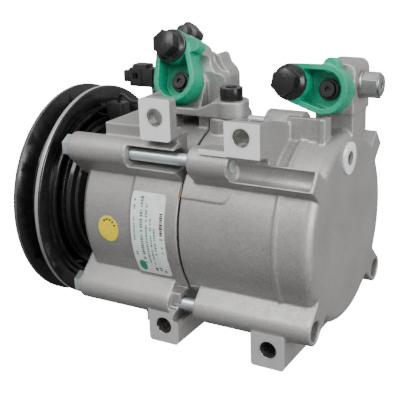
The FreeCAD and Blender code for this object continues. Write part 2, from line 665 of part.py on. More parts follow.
def piston(i):
    """Double ended piston: two heads and a bridge round the rim of the swash plate."""
    centre = piston_centre(i)
    reach = BLOCK_HALF - HALF_STROKE - 0.6
    head_angle = bore_angle(i)
    body = cyl_x(PISTON_R, -reach, reach)
    slot = cyl_x(BRIDGE_R, -SLOT_HALF, SLOT_HALF)
    slot.translate(V(0, -BORE_CIRCLE_R, 0))
    groove = ring_x(PISTON_R + 1, PISTON_R - 1.2, reach - 5.0, reach - 3.0)
    tools = [slot, Part.makeSphere(SHOE_SPHERE_R + 0.06), groove, groove.mirror(ORIGIN, X_AXIS)]
    tools += [cyl_x(9.5, SLOT_HALF + 7, reach - 7), cyl_x(9.5, 7 - reach, -SLOT_HALF - 7)]
    body = cut(body, tools)
    body.rotate(ORIGIN, X_AXIS, head_angle)
    body.translate(centre)
    return body


def shoe(i, side):
    """Shoe: flat on the plate, round in the piston's pocket."""
    flat = PLATE_HALF + 0.04
    rotation = FreeCAD.Rotation(Z_AXIS, PLATE_NORMAL * side)
    button = Part.makeCylinder(SHOE_R, SHOE_SPHERE_R + 1 - flat, V(0, 0, flat), Z_AXIS)
    button = button.common(Part.makeSphere(SHOE_SPHERE_R))
    button.Placement = FreeCAD.Placement(piston_centre(i), rotation)
    return button


def drive_shaft():
    """Stepped shaft from the clutch hub to the rear needle bearing."""
    outline = [(SHAFT_FRONT_X, 0), (SHAFT_FRONT_X, 3.6), (SHAFT_FRONT_X + 0.8, 4.4), (-10.0, 4.4),
               (-10.0, 6.2), (6.0, 6.2), (6.0, 7.2), (26.0, 7.2), (27.0, SHAFT_R),
               (SHAFT_REAR_X - 20, SHAFT_R), (SHAFT_REAR_X - 19, 7.5), (SHAFT_REAR_X - 14, 7.5),
               (SHAFT_REAR_X - 13, 0)]
    return revolve_x(outline)


def swash_plate():
    """Leaning disc and its hub, pressed on the shaft."""
    disc = Part.makeCylinder(PLATE_R, 2 * PLATE_HALF, V(0, 0, -PLATE_HALF), Z_AXIS)
    disc.Placement = FreeCAD.Placement(PLATE_CENTRE, FreeCAD.Rotation(Z_AXIS, PLATE_NORMAL))
    hub = cyl_x(PLATE_HUB_R, SPLIT_X - PLATE_HUB_HALF, SPLIT_X + PLATE_HUB_HALF)
    return cut(fuse([disc, hub]), [cyl_x(SHAFT_R + 0.02, 50, 150)])


def shaft_seal():
    """Lip seal in the nose."""
    outline = [(14.0, 13.4), (14.0, 7.9), (15.2, 7.25), (16.2, 8.2), (16.2, 11.6), (20.5, 11.6),
               (20.5, 13.4)]
    return revolve_x(outline)


def retaining_ring(inner, outer, x0, x1, gap_deg):
    """Flat snap ring with a gap at the bottom."""
    ring = ring_x(outer, inner, x0, x1)
    half = math.tan(math.radians(gap_deg / 2)) * outer
    gap = prism_x([(0, 0), (half * 1.2, -outer * 1.2), (-half * 1.2, -outer * 1.2)],
                  x0 - 1, x1 + 1)
    return cut(ring, [gap])


# ---------------------------------------------------------------- clutch

def pulley():
    """One-groove pulley with its friction face and the ring that surrounds the coil."""
    floor_r = PULLEY_R - GROOVE_DEPTH
    floor_half = RIDGE_HALF - GROOVE_DEPTH * math.tan(math.radians(GROOVE_WALL_DEG))
    wall_r = 53.0
    outline = [(FRICTION_X, BEARING_R), (FRICTION_X, 53.5), (-6.4, 56.0), (-PULLEY_HALF, 60.5),
               (-PULLEY_HALF, PULLEY_R - 1.0), (-PULLEY_HALF + 1, PULLEY_R),
               (-RIDGE_HALF, PULLEY_R), (-floor_half, floor_r), (floor_half, floor_r),
               (RIDGE_HALF, PULLEY_R), (PULLEY_HALF - 1, PULLEY_R), (PULLEY_HALF, PULLEY_R - 1.0),
               (PULLEY_HALF, 60.5), (8.2, 57.5), (8.2, wall_r + 2.4), (PULLEY_HALF + 1.0, wall_r + 2.0),
               (PULLEY_HALF + 1.0, wall_r), (-4.4, wall_r - 2.2), (-4.4, COIL_BORE_R - 1.2),
               (PULLEY_HALF, COIL_BORE_R - 2.0), (PULLEY_HALF, BEARING_R)]
    body = revolve_x(outline)
    slots = []
    for radius in (35.0, 45.5):
        arc = ring_x(radius + 1.3, radius - 1.3, FRICTION_X - 1, -3)
        for start in range(6):
            keep = box(FRICTION_X - 2, -2, 0, 60, -3.2, 3.2)
            keep.rotate(ORIGIN, X_AXIS, 60 * start + (30 if radius > 40 else 0))
            arc = arc.cut(keep)
        slots.append(arc)
    return cut(body, slots)


def ball_groove(x):
    """Ring-shaped groove that a row of balls runs in."""
    return Part.makeTorus(BALL_CIRCLE_R, BALL_R + 0.06, V(x, 0, 0), X_AXIS)


def bearing_outer_race():
    race = ring_x(BEARING_R, 23.4, -BEARING_HALF, BEARING_HALF)
    return cut(race, [ball_groove(x) for x in BALL_ROWS])


def bearing_inner_race():
    race = ring_x(20.1, NOSE_R + 0.02, -BEARING_HALF, BEARING_HALF)
    return cut(race, [ball_groove(x) for x in BALL_ROWS])


def bearing_balls():
    """Two rows of balls."""
    rows = []
    for row_x in BALL_ROWS:
        for i in range(BALLS):
            y, z = on_circle(BALL_CIRCLE_R, 360.0 * i / BALLS)
            rows.append(Part.makeSphere(BALL_R, V(row_x, y, z)))
    return Part.Compound(rows)


def bearing_cage():
    """Cage that keeps the balls apart."""
    cage = ring_x(22.6, 20.9, -8.6, 8.6)
    pockets = []
    for row_x in BALL_ROWS:
        hole = Part.makeCylinder(BALL_R + 0.15, 10, V(row_x, 17, 0), Y_AXIS)
        pockets += around_x(hole, BALLS)
    return cut(cage, pockets)


def bearing_shields():
    """Steel shields pressed into the outer race at both ends."""
    return Part.Compound([ring_x(23.35, 20.6, x, x + 0.6) for x in (-9.8, 9.2)])


def field_coil():
    """Steel ring that holds the winding, with its stepped rear plate."""
    outline = [(-3.6, COIL_BORE_R), (-3.6, COIL_BORE_R + 2.4), (8.0, COIL_BORE_R + 2.4),
               (8.0, COIL_R - 2.4), (-3.6, COIL_R - 2.4), (-3.6, COIL_R - 0.8), (11.4, COIL_R),
               (12.6, COIL_R), (12.6, COIL_R - 3.4), (15.4, COIL_R - 3.8), (15.4, COIL_R - 8.0),
               (17.6, COIL_R - 8.6), (17.6, 24.5), (15.0, 21.4), (11.4, 21.4), (11.4, COIL_BORE_R)]
    return revolve_x(outline)


def coil_winding():
    """Potted copper winding inside the coil ring."""
    return ring_x(COIL_R - 2.5, COIL_BORE_R + 2.5, -3.2, 7.9)


def coil_terminal():
    """Moulded block where the lead leaves the coil."""
    block = box(12.7, 25.5, 1.5, 10.5, 43.5, 58.5)
    upright = [e for e in block.Edges if abs(e.tangentAt(e.FirstParameter).z) > 0.99]
    lead_exit = cyl_z(LEAD_R + 0.1, 58.0, 60.0, LEAD_ROUTE[0].x, LEAD_ROUTE[0].y)
    return cut(block.makeFillet(1.5, upright), [ring_x(COIL_R + 0.05, 30.0, 10.0, 15.6), lead_exit])


def armature_plate():
    """Friction ring that the coil pulls on to the pulley."""
    x1 = FRICTION_X - CLUTCH_GAP
    plate = ring_x(ARMATURE_R, 27.5, x1 - ARMATURE_T, x1)
    arc = ring_x(41.5, 39.0, x1 - ARMATURE_T - 1, x1 + 1)
    for start in range(3):
        keep = box(x1 - 10, x1 + 5, 0, 60, -7.0, 7.0)
        keep.rotate(ORIGIN, X_AXIS, 120 * start + 60)
        arc = arc.cut(keep)
    return cut(plate, [arc])


def clutch_hub():
    """Splined hub with the three-lobed flange that carries the leaf springs."""
    boss = cyl_x(12.0, -17.5, 4.0)
    flange = cyl_x(24.0, -19.3, -16.9)
    lobes = []
    for i in range(3):
        arm = box(-19.3, -16.9, 0, 33, -8, 8).fuse(cyl_x(8, -19.3, -16.9, 33, 0))
        arm.rotate(ORIGIN, X_AXIS, 120 * i + 30)
        lobes.append(arm)
    return cut(fuse([boss, flange] + lobes), [cyl_x(6.22, -30, 5)])


def leaf_springs():
    """Three tangential leaves between the hub flange and the armature plate."""
    leaves = []
    x1 = -16.9
    for i in range(3):
        leaf = box(x1 + 0.02, x1 + 0.8, 33 - 5, 33 + 5, -3, 30).cut(cyl_x(3.25, x1 - 1, x1 + 2, 33, 25))
        leaf.rotate(ORIGIN, X_AXIS, 120 * i + 30)
        leaves.append(leaf)
    return Part.Compound(leaves)


def hub_rivets():
    """Rivet heads that hold the leaf springs on the hub flange."""
    return Part.Compound(around_x(cyl_x(3.2, -20.4, -19.32, 33, 0), 3, 30))


def plate_rivets():
    """Rivets that hold the far ends of the leaf springs on the armature plate."""
    return Part.Compound(around_x(cyl_x(3.2, -17.2, -14.95, 33, 25), 3, 30))


def shaft_nut():
    """Flanged nut that holds the hub on the shaft."""
    flange = cyl_x(8.5, -20.9, -19.35)
    nut = hexagon(12.0, V(-26.0, 0, 0), X_AXIS, 5.5)
    return cut(fuse([flange, nut]), [cyl_x(4.42, -30, -10)])


# ---------------------------------------------------------------- coil lead

LEAD_ROUTE = [V(20.0, 6.0, 58.5), V(21.0, 6.0, 62.5), V(25.0, 4.5, 64.0), V(30.5, 2.0, 61.5),
              V(36.0, 0.5, 60.5), V(42.0, 0.0, 61.5), V(49.0, 0.0, 65.0), V(55.0, 0.0, 70.0),
              V(58.5, 0.0, 75.0), V(57.0, 0.0, 78.3), V(54.0, 0.0, 78.6)]


def rounded_route(points):
    """Straight runs joined by tangent arcs, as large as the runs allow."""
    edges = []
    last = points[0]
    for before, corner, after in zip(points, points[1:], points[2:]):
        into = corner - before
        out = after - corner
        turn = into.getAngle(out)
        shorter = min(into.Length, out.Length)
        radius = 0.45 * shorter / math.tan(turn / 2)
        setback = 0.45 * shorter
        print("lead arc radius %.1f mm, turn %.0f degrees" % (radius, math.degrees(turn)))
        into.normalize()
        out.normalize()
        start = corner - into * setback
        end = corner + out * setback
        bisector = out - into
        bisector.normalize()
        middle = corner + bisector * (radius / math.cos(turn / 2) - radius)
        edges.append(Part.LineSegment(last, start).toShape())
        edges.append(Part.Arc(start, middle, end).toShape())
        last = end
    edges.append(Part.LineSegment(last, points[-1]).toShape())
    return Part.Wire(edges)


def coil_lead():
    """Insulated lead from the coil terminal to the connector."""
    path = rounded_route(LEAD_ROUTE)
    direction = LEAD_ROUTE[1] - LEAD_ROUTE[0]
    profile = Part.Wire(Part.makeCircle(LEAD_R, LEAD_ROUTE[0], direction))
    tube = path.makePipeShell([profile], True, False)
    print("lead length %.1f mm" % path.Length)
    return tube


def connector():
    """Two-way connector housing with a stepped back, a latch tongue and its window."""
    body = box(37.0, 53.5, -4.5, 4.5, 72.0, 83.0)
    hood = box(39.0, 49.0, -3.8, 4.5, 82.0, 85.2)
    tongue = box(32.0, 38.0, -3.4, 3.4, 74.2, 81.0)
    shell = fuse([body, hood, tongue])
    window = box(39.5, 43.0, -10, 10, 76.4, 80.0)
    mouth = box(30.0, 48.0, -2.3, 2.3, 75.4, 80.2)
    groove = box(45.5, 47.0, -6, -4.0, 70, 90)
    return cut(shell, [window, mouth, groove])


def connector_bracket():
    """Bent steel strip that carries the connector above the front housing."""
    foot = box(44.0, 62.0, 10.0, 20.0, 57.3, 58.8)
    upright = box(44.0, 52.0, 8.4, 10.0, 57.3, 80.0)
    clip = box(44.0, 52.0, 4.5, 8.5, 74.0, 80.0)
    return fuse([foot, upright, clip])


# ---------------------------------------------------------------- assembly

def write_parts():
    nodes = {
        "front_housing": front_housing(),
        "rear_housing": rear_housing(),
        "joint_seals": joint_seals(),
        "through_bolts": Part.Compound([through_bolt(y, z) for y, z in BOLT_CORNERS]),
        "oil_plug": oil_plug(),
        "service_manifold": service_manifold(),
        "manifold_screw": manifold_screw(),
        "valve_cap": valve_cap(),
        "front_port_cap": port_cap(FRONT_PLACE, 13.6, 17.5),
        "rear_port_cap": port_cap(REAR_PLACE, 13.2, -1.0),
        "cap_bolts": Part.Compound([cap_bolt(FRONT_PLACE, 30), cap_bolt(REAR_PLACE, 0)]),
        "port_plugs": Part.Compound([port_plug(FRONT_PLACE), port_plug(REAR_PLACE)]),
        "relief_valve": relief_valve(),
        "drive_shaft": drive_shaft(),
        "swash_plate": swash_plate(),
        "shaft_seal": shaft_seal(),
        "seal_snap_ring": retaining_ring(11.2, 13.45, 12.4, 13.8, 40),
        "pulley": pulley(),
        "bearing_outer_race": bearing_outer_race(),
        "bearing_inner_race": bearing_inner_race(),
        "bearing_balls": bearing_balls(),
        "bearing_cage": bearing_cage(),
        "bearing_shields": bearing_shields(),
        "field_coil": field_coil(),
        "coil_winding": coil_winding(),
        "coil_terminal": coil_terminal(),
        "coil_snap_ring": retaining_ring(21.05, 24.0, 17.7, 18.9, 30),
        "coil_lead": coil_lead(),
        "connector": connector(),
        "connector_bracket": connector_bracket(),
        "armature_plate": armature_plate(),
        "clutch_hub": clutch_hub(),
        "leaf_springs": leaf_springs(),
        "hub_rivets": hub_rivets(),
        "plate_rivets": plate_rivets(),
        "suction_reeds": Part.Compound([suction_reed(-1), suction_reed(1)]),
        "shaft_nut": shaft_nut(),
        "needle_bearings": Part.Compound(needle_bearing(-1).Solids + needle_bearing(1).Solids),
        "head_gaskets": Part.Compound([head_gasket(-1), head_gasket(1)]),
        "rear_shoes": Part.Compound([shoe(i, 1) for i in range(BORES)]),
    }
    for name, side in (("front", -1), ("rear", 1)):
        nodes[name + "_cylinder_block"] = cylinder_block(side)
        nodes[name + "_thrust_bearing"] = thrust_bearing(side)
        nodes[name + "_valve_plate"] = valve_plate(side)
        nodes[name + "_discharge_reed"] = discharge_reed(side)
        nodes[name + "_reed_stop"] = reed_stop(side)
    for i in range(BORES):
        nodes["piston_%d" % (i + 1)] = piston(i)
        nodes["front_shoe_%d" % (i + 1)] = shoe(i, -1)
    os.makedirs("parts", exist_ok=True)
    for name, shape in nodes.items():
        solids = shape.Solids
        print("%-24s solids %2d valid %s volume %.0f" % (name, len(solids), shape.isValid(), shape.Volume))
        shape.exportStep("parts/%s.step" % name)
    print("nodes", len(nodes), "drift radius %.2f" % DRIFT_R, "lean %.2f" % math.degrees(LEAN))


write_parts()
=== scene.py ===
import json
import math
import random

import bmesh
import bpy
from mathutils import Matrix, Vector

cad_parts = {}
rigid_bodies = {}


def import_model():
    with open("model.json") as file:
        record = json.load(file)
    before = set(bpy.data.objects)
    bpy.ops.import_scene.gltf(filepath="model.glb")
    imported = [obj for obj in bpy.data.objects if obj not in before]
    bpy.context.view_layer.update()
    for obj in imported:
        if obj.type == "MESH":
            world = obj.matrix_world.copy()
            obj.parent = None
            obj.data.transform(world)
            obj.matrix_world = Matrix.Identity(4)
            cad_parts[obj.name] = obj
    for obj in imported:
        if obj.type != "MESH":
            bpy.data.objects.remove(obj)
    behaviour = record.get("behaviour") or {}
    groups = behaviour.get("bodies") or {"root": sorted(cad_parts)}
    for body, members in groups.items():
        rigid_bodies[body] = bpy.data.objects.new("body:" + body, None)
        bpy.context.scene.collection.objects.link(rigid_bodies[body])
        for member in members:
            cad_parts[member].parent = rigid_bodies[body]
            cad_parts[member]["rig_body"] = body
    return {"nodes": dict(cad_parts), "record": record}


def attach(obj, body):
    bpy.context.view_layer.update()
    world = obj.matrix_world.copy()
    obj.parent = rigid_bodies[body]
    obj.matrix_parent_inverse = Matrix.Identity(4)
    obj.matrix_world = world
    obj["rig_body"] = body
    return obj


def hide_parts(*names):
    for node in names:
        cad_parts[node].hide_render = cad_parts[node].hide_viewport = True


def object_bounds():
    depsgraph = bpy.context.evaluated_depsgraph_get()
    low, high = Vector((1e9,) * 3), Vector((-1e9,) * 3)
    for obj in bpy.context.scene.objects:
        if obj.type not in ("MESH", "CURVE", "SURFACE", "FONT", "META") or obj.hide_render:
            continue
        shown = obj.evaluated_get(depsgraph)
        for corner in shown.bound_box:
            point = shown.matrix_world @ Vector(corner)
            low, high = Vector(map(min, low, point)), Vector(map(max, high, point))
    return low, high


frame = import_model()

# An automotive air conditioning compressor, seen from its rear left.
# X is the shaft, +X the rear head, -Y the side of the mounting ears, +Z up.
# The frame is in metres; dimensions below are in millimetres times MM.

MM = 0.001
CAD_BOX = [list(corner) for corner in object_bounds()]
NODES = frame["nodes"]

# planes and radii that the CAD settles
EAR_FACE_Y = -55.7
JOINT_MIDDLE_X = 98.0
JOINT_X = {"front_housing": 97.9, "rear_housing": 98.1}
SHELL_R = 55.5
FRONT_SHELL_R = 54.5
EAR_HOLE_R = 5.1
# ear bores: X and Z of each axis, and the Y where the bore ends
EAR_BORES = {"upper_front": (87.3, 67.9, -48.2), "upper_rear": (139.4, 61.7, -47.2),
             "lower_front": (86.1, -56.5, -20.3), "lower_rear": (153.3, -56.5, -20.0)}
PLUG_Y, PLUG_Z = -3.0, 41.5
PULLEY_R = 68.5

# how pieces are built, in millimetres
WELD = 0.002              # vertices closer than this are one
MILLED_DEPTH = 0.7        # thickness of the slab over a milled face
MILLED_PROUD = 0.02       # how far that slab stands out of the casting
LINING_WALL = 0.5
PRINT_THICKNESS = 0.05
SHARP_DEG = 40.0          # edges above this angle stay sharp


# ---------------------------------------------------------------- small helpers

def link(obj):
    """Put an object in the scene."""
    bpy.context.scene.collection.objects.link(obj)
    return obj


def mesh_object(name, vertices, faces):
    """New mesh object from plain lists in millimetres."""
    mesh = bpy.data.meshes.new(name)
    mesh.from_pydata([tuple(c * MM for c in v) for v in vertices], [], faces)
    mesh.update()
    return link(bpy.data.objects.new(name, mesh))


def apply_modifiers(obj):
    """Bake an object's modifiers into its mesh."""
    bpy.context.view_layer.update()
    evaluated = obj.evaluated_get(bpy.context.evaluated_depsgraph_get())
    mesh = bpy.data.meshes.new_from_object(evaluated)
    obj.modifiers.clear()
    obj.data = mesh


def smooth_by_angle(obj, degrees):
    """Smooth shading, with edges sharper than the angle kept sharp."""
    obj.data.shade_smooth()
    obj.data.set_sharp_from_angle(angle=math.radians(degrees))


def finish_piece(obj, body, materials):
    """Give a piece its materials and the body it rides on."""
    obj.data.materials.clear()
    for material in materials:
        obj.data.materials.append(material)
    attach(obj, body)


def body_of_node(node):
    """Name of the body that a CAD node belongs to."""
    return NODES[node]["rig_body"]


# ---------------------------------------------------------------- materials

class Shader:
    """A material under construction: a principled shader and short calls that feed it."""

    def __init__(self, name, color, metallic=0.0, roughness=0.5):
        self.material = bpy.data.materials.new(name)
        self.material.use_nodes = True
        self.tree = self.material.node_tree
        self.bsdf = self.tree.nodes["Principled BSDF"]
        self.bsdf.inputs["Base Color"].default_value = (*color, 1.0)
        self.bsdf.inputs["Metallic"].default_value = metallic
        self.bsdf.inputs["Roughness"].default_value = roughness
        self.coords = self.tree.nodes.new("ShaderNodeTexCoord").outputs["Object"]
        self.normal = None

    def node(self, kind, **settings):
        made = self.tree.nodes.new(kind)
        for key, value in settings.items():
            setattr(made, key, value)
        return made

    def join(self, output, socket):
        self.tree.links.new(output, socket)

    def value(self, socket, value):
        """Feed a socket with a number or another node's output."""
        if isinstance(value, (int, float)):
            socket.default_value = value
        else:
            self.join(value, socket)

    def scaled(self, x, y, z):
        """Object coordinates stretched along the axes."""
        mapping = self.node("ShaderNodeMapping")
        mapping.inputs["Scale"].default_value = (x, y, z)
        self.join(self.coords, mapping.inputs["Vector"])
        return mapping.outputs["Vector"]

    def noise(self, scale, detail=3.0, roughness=0.55, vector=None):
        made = self.node("ShaderNodeTexNoise")
        made.inputs["Scale"].default_value = scale
        made.inputs["Detail"].default_value = detail
        made.inputs["Roughness"].default_value = roughness
        self.join(vector or self.coords, made.inputs["Vector"])
        return made.outputs["Fac"]

    def spots(self, scale):
        made = self.node("ShaderNodeTexVoronoi")
        made.inputs["Scale"].default_value = scale
        self.join(self.coords, made.inputs["Vector"])
        return made.outputs["Distance"]

    def ramp(self, value, low, high, out_low=0.0, out_high=1.0):
        """Map a value's range on to another, with soft ends."""
        made = self.node("ShaderNodeMapRange", interpolation_type="SMOOTHSTEP")
        self.value(made.inputs["Value"], value)
        made.inputs["From Min"].default_value = low
        made.inputs["From Max"].default_value = high
        made.inputs["To Min"].default_value = out_low
        made.inputs["To Max"].default_value = out_high
        return made.outputs["Result"]

    def math(self, operation, a, b=0.0):
        made = self.node("ShaderNodeMath", operation=operation)
        self.value(made.inputs[0], a)
        self.value(made.inputs[1], b)
        return made.outputs["Value"]

    def mix(self, factor, a, b):
        """Blend two colours, each a tuple or a node's output."""
        made = self.node("ShaderNodeMix", data_type="RGBA")
        self.value(made.inputs[0], factor)
        for socket, color in ((made.inputs[6], a), (made.inputs[7], b)):
            if isinstance(color, tuple):
                socket.default_value = (*color, 1.0)
            else:
                self.join(color, socket)
        return made.outputs[2]

    def mix_value(self, factor, a, b):
        """Blend two numbers, each a number or a node's output."""
        made = self.node("ShaderNodeMix", data_type="FLOAT")
        self.value(made.inputs[0], factor)
        self.value(made.inputs[2], a)
        self.value(made.inputs[3], b)
        return made.outputs[0]

    def axis(self, name):
        """One object coordinate."""
        split = self.node("ShaderNodeSeparateXYZ")
        self.join(self.coords, split.inputs["Vector"])
        return split.outputs[name]

    def radius(self):
        """Distance from the shaft axis."""
        y, z = self.axis("Y"), self.axis("Z")
        square = self.math("ADD", self.math("MULTIPLY", y, y), self.math("MULTIPLY", z, z))
        return self.math("SQRT", square)

    def color(self, output):
        self.join(output, self.bsdf.inputs["Base Color"])

    def roughness(self, output):
        self.join(output, self.bsdf.inputs["Roughness"])

    def metallic(self, output):
        self.join(output, self.bsdf.inputs["Metallic"])

    def bump(self, height, distance, strength=1.0):
        """Add a bump on top of the ones already there."""
        made = self.node("ShaderNodeBump")
        made.inputs["Strength"].default_value = strength
        made.inputs["Distance"].default_value = distance
        self.value(made.inputs["Height"], height)
        if self.normal is not None:
            self.join(self.normal, made.inputs["Normal"])
        self.normal = made.outputs["Normal"]
        self.join(self.normal, self.bsdf.inputs["Normal"])


def cast_aluminium():
    """Blasted aluminium casting: grey, grainy, a little stained."""
    s = Shader("cast_aluminium", (0.36, 0.355, 0.345), 0.8, 0.5)
    grain = s.noise(2300.0, 4.0)
    cloud = s.noise(34.0, 4.0)
    stain = s.noise(85.0, 5.0, 0.7)
    pits = s.spots(520.0)
    base = s.mix(s.ramp(cloud, 0.3, 0.7), (0.295, 0.289, 0.278), (0.360, 0.354, 0.343))
    base = s.mix(s.ramp(stain, 0.56, 0.78, 0.0, 0.5), base, (0.27, 0.25, 0.225))
    base = s.mix(s.ramp(grain, 0.42, 0.66, 0.0, 0.6), base, (0.56, 0.555, 0.545))
    base = s.mix(s.ramp(grain, 0.32, 0.46, 0.45, 0.0), base, (0.17, 0.165, 0.16))
    base = s.mix(s.ramp(pits, 0.0, 0.09, 0.45, 0.0), base, (0.17, 0.16, 0.15))
    s.color(base)
    s.roughness(s.ramp(s.noise(420.0, 3.0), 0.3, 0.7, 0.46, 0.58))
    s.bump(grain, 0.05 * MM, 0.6)
    s.bump(s.noise(900.0, 3.0), 0.07 * MM, 0.4)
    s.bump(s.noise(90.0, 2.0), 0.12 * MM, 0.12)
    return s.material


def milled_aluminium(name, shade):
    """Freshly milled faces: bright, with fine cutter lines; a shade below 1 darkens the whole face
    as painted shade.
    """
    s = Shader(name, (0.9, 0.9, 0.9), 0.4, 0.36)
    lines = s.noise(850.0, 2.0, 0.5, s.scaled(1.0, 1.0, 12.0))
    cloud = s.noise(60.0, 3.0)
    base = s.mix(lines, (0.86 * shade, 0.865 * shade, 0.87 * shade), (shade, shade, shade))
    stain = (0.76 * shade, 0.755 * shade, 0.74 * shade)
    s.color(s.mix(s.ramp(cloud, 0.4, 0.75, 0.0, 0.35), base, stain))
    s.roughness(s.ramp(lines, 0.3, 0.7, 0.30, 0.44))
    s.bump(lines, 0.02 * MM, 0.5)
    return s.material


def bored_aluminium():
    """Turned bore, with light and dark rings along its depth: painted shade in the thread roots
    and painted glint on the crests.
    """
    s = Shader("bored_aluminium", (0.5, 0.49, 0.47), 0.95, 0.3)
    rings = s.node("ShaderNodeTexWave", wave_type="BANDS", bands_direction="Y")
    rings.inputs["Scale"].default_value = 190.0
    rings.inputs["Distortion"].default_value = 1.6
    s.join(s.coords, rings.inputs["Vector"])
    turned = rings.outputs["Fac"]
    # near black to bright along the depth: painted shade and painted glint of the threads, not a
    # colour of the metal
    s.color(s.mix(turned, (0.22, 0.205, 0.185), (0.80, 0.78, 0.74)))
    s.roughness(s.ramp(s.noise(500.0, 3.0), 0.3, 0.7, 0.24, 0.36))
    s.bump(turned, 0.06 * MM, 0.4)
    return s.material


def plug_aluminium():
    """Pale flange of the oil plug, with a darker socket."""
    s = Shader("plug_aluminium", (0.9, 0.9, 0.9), 0.3, 0.3)
    y = s.math("SUBTRACT", s.axis("Y"), PLUG_Y * MM)
    z = s.math("SUBTRACT", s.axis("Z"), PLUG_Z * MM)
    square = s.math("ADD", s.math("MULTIPLY", y, y), s.math("MULTIPLY", z, z))
    flange = s.ramp(s.math("SQRT", square), 3.7 * MM, 4.3 * MM)
    turned = s.noise(700.0, 3.0)
    pale = s.mix(turned, (0.80, 0.80, 0.81), (0.93, 0.93, 0.94))
    s.color(s.mix(flange, (0.10, 0.095, 0.09), pale))
    s.roughness(s.ramp(turned, 0.3, 0.7, 0.24, 0.38))
    s.bump(turned, 0.01 * MM, 0.3)
    return s.material


def steel(name, color, roughness, grain=(1.0, 1.0, 1.0)):
    """Turned, ground or plated steel, with grain across the stretched axes."""
    s = Shader(name, color, 1.0, roughness)
    lines = s.noise(1400.0, 3.0, 0.6, s.scaled(*grain))
    cloud = s.noise(130.0, 3.0)
    dark = tuple(c * 0.72 for c in color)
    s.color(s.mix(s.ramp(cloud, 0.35, 0.7, 0.0, 0.8), color, dark))
    s.roughness(s.ramp(lines, 0.3, 0.7, roughness * 0.75, roughness * 1.35))
    s.bump(lines, 0.02 * MM, 0.35)
    return s.material


def zinc_steel():
    """Zinc plate: pale, a little blue and green, clouded."""
    s = Shader("zinc_steel", (0.62, 0.68, 0.70), 0.85, 0.36)
    cloud = s.noise(60.0, 3.0)
    fine = s.noise(900.0, 3.0, 0.6, s.scaled(0.2, 1.0, 1.0))
    base = s.mix(s.ramp(cloud, 0.3, 0.7), (0.50, 0.575, 0.59), (0.62, 0.67, 0.68))
    s.color(s.mix(s.ramp(fine, 0.5, 0.8, 0.0, 0.15), base, (0.44, 0.49, 0.50)))
    s.roughness(s.ramp(s.noise(120.0, 3.0), 0.3, 0.7, 0.34, 0.42))
    s.bump(s.noise(60.0, 2.0), 0.01 * MM, 0.1)
    return s.material


def black_oxide_steel():
    """Black oxide on steel: dark grey sheen, worn on the highest grain."""
    s = Shader("black_oxide_steel", (0.035, 0.035, 0.037), 0.55, 0.38)
    wear = s.noise(260.0, 5.0, 0.7)
    s.color(s.mix(s.ramp(wear, 0.55, 0.8, 0.0, 0.6), (0.022, 0.021, 0.022), (0.11, 0.105, 0.10)))
    s.roughness(s.ramp(s.noise(500.0, 3.0), 0.3, 0.7, 0.22, 0.36))
    s.bump(s.noise(1300.0, 3.0), 0.02 * MM, 0.3)
    return s.material


def black_paint():
    """Gloss black enamel with dust in it; unpainted metal on the tops of the pulley's ridges, cut
    back to about an eighth on the front ridge as painted shade that dims its highlight.
    """
    s = Shader("black_paint", (0.010, 0.010, 0.011), 0.0, 0.22)
    dust = s.noise(240.0, 5.0, 0.7)
    paint = s.mix(s.ramp(dust, 0.5, 0.8, 0.0, 0.5), (0.006, 0.006, 0.0065), (0.030, 0.028, 0.026))
    ragged = s.math("ADD", s.radius(), s.math("MULTIPLY", s.noise(180.0, 3.0), 0.00025))
    edge = s.ramp(ragged, (PULLEY_R - 0.10) * MM, (PULLEY_R + 0.06) * MM)
    # the metal on the front ridge is kept to 0.12 of the rear's: painted shade that dims the front
    # ridge's highlight
    bare_with_shaded_front = s.math("MULTIPLY", edge, s.ramp(s.axis("X"), 0.0, 2.0 * MM, 0.12, 1.0))
    s.color(s.mix(bare_with_shaded_front, paint, (0.62, 0.61, 0.60)))
    s.metallic(s.mix_value(bare_with_shaded_front, 0.0, 1.0))
    rough = s.ramp(s.noise(90.0, 4.0), 0.3, 0.7, 0.17, 0.32)
    s.roughness(s.mix_value(bare_with_shaded_front, rough, 0.28))
    s.bump(s.noise(420.0, 2.0), 0.02 * MM, 0.3)
    return s.material


def plastic(name, color, dark, roughness, grain, bump_mm):
    """Moulded plastic or rubber with a fine texture."""
    s = Shader(name, color, 0.0, roughness)
    cloud = s.noise(70.0, 4.0)
    s.color(s.mix(s.ramp(cloud, 0.3, 0.7), dark, color))
    s.roughness(s.ramp(s.noise(260.0, 3.0), 0.3, 0.7, roughness * 0.85, roughness * 1.2))
    s.bump(s.spots(grain), bump_mm * MM, 0.4)
    s.bump(s.noise(grain * 1.7, 3.0), bump_mm * MM, 0.5)
    return s.material


def green_plastic():
    """Green shipping cap with a speckled, slightly translucent skin."""
    s = Shader("green_plastic", (0.002, 0.25, 0.14), 0.0, 0.4)
    s.bsdf.inputs["Specular IOR Level"].default_value = 0.35
    cloud = s.noise(60.0, 3.0)
    speck = s.spots(900.0)
    base = s.mix(s.ramp(cloud, 0.3, 0.7), (0.002, 0.22, 0.118), (0.003, 0.32, 0.18))
    s.color(s.mix(s.ramp(speck, 0.15, 0.5, 0.5, 0.0), base, (0.001, 0.12, 0.065)))
    s.roughness(s.ramp(s.noise(400.0, 3.0), 0.3, 0.7, 0.26, 0.46))
    s.bump(speck, 0.08 * MM, 0.6)
    s.bump(s.noise(2400.0, 3.0), 0.03 * MM, 0.5)
    return s.material


def label_paper():
    """White film of the label."""
    s = Shader("label_paper", (0.8, 0.8, 0.8), 0.0, 0.35)
    fibre = s.noise(160.0, 4.0)
    s.color(s.mix(s.ramp(fibre, 0.3, 0.75), (0.60, 0.63, 0.61), (0.74, 0.76, 0.75)))
    s.roughness(s.ramp(s.noise(300.0, 3.0), 0.3, 0.7, 0.28, 0.5))
    s.bump(s.noise(90.0, 3.0), 0.05 * MM, 0.3)
    return s.material


